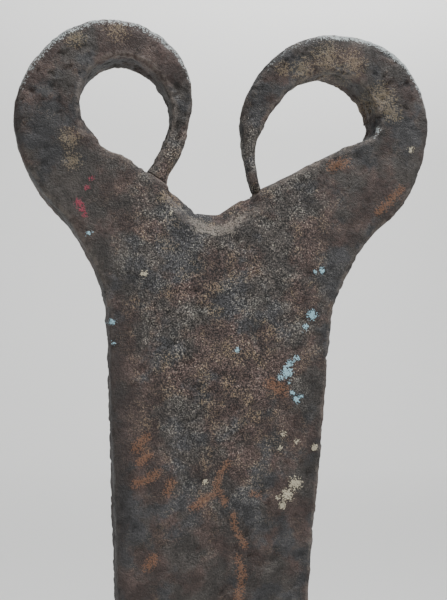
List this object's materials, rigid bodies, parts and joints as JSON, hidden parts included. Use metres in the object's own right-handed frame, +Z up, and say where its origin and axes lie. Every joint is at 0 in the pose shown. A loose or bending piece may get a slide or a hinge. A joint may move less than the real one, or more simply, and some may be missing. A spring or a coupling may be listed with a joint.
{
  "type": "fire hydrant wrench",
  "caption": "Hand-forged flat-bar hydrant wrench: forked upper end with curled horns forming teardrop eyes around a notch, and a riveted nut socket below.",
  "frame": {"origin": "centre of the five-sided nut socket, which is the axis the wrench turns about, at the middle of the bar's thickness", "axes": "+Z runs up the bar from the nut socket to the curled horns, the front face looks to -Y, +X is to the right of the front face"},
  "size_m": [0.0937, 0.028, 0.4054],
  "materials": {
    "forged_iron": "hand-forged wrought iron, dark brown patina with rust bloom and fine pitting",
    "socket_iron": "forged iron, dark brown patina, worn bright on the nut flats",
    "strap_iron": "hammered iron strap, dark brown patina with rust in the joints",
    "rivet_iron": "hand-set iron rivets, hammered domes, dark brown patina"
  },
  "bodies": {
    "root": {"bar": "forged_iron", "left_horn": "forged_iron", "right_horn": "forged_iron", "nut_socket": "socket_iron", "front_strap": "strap_iron", "back_strap": "strap_iron", "tang_rivet_lower": "rivet_iron", "tang_rivet_upper": "rivet_iron", "bar_rivet_lower": "rivet_iron", "bar_rivet_upper": "rivet_iron"}
  },
  "joints": []
}
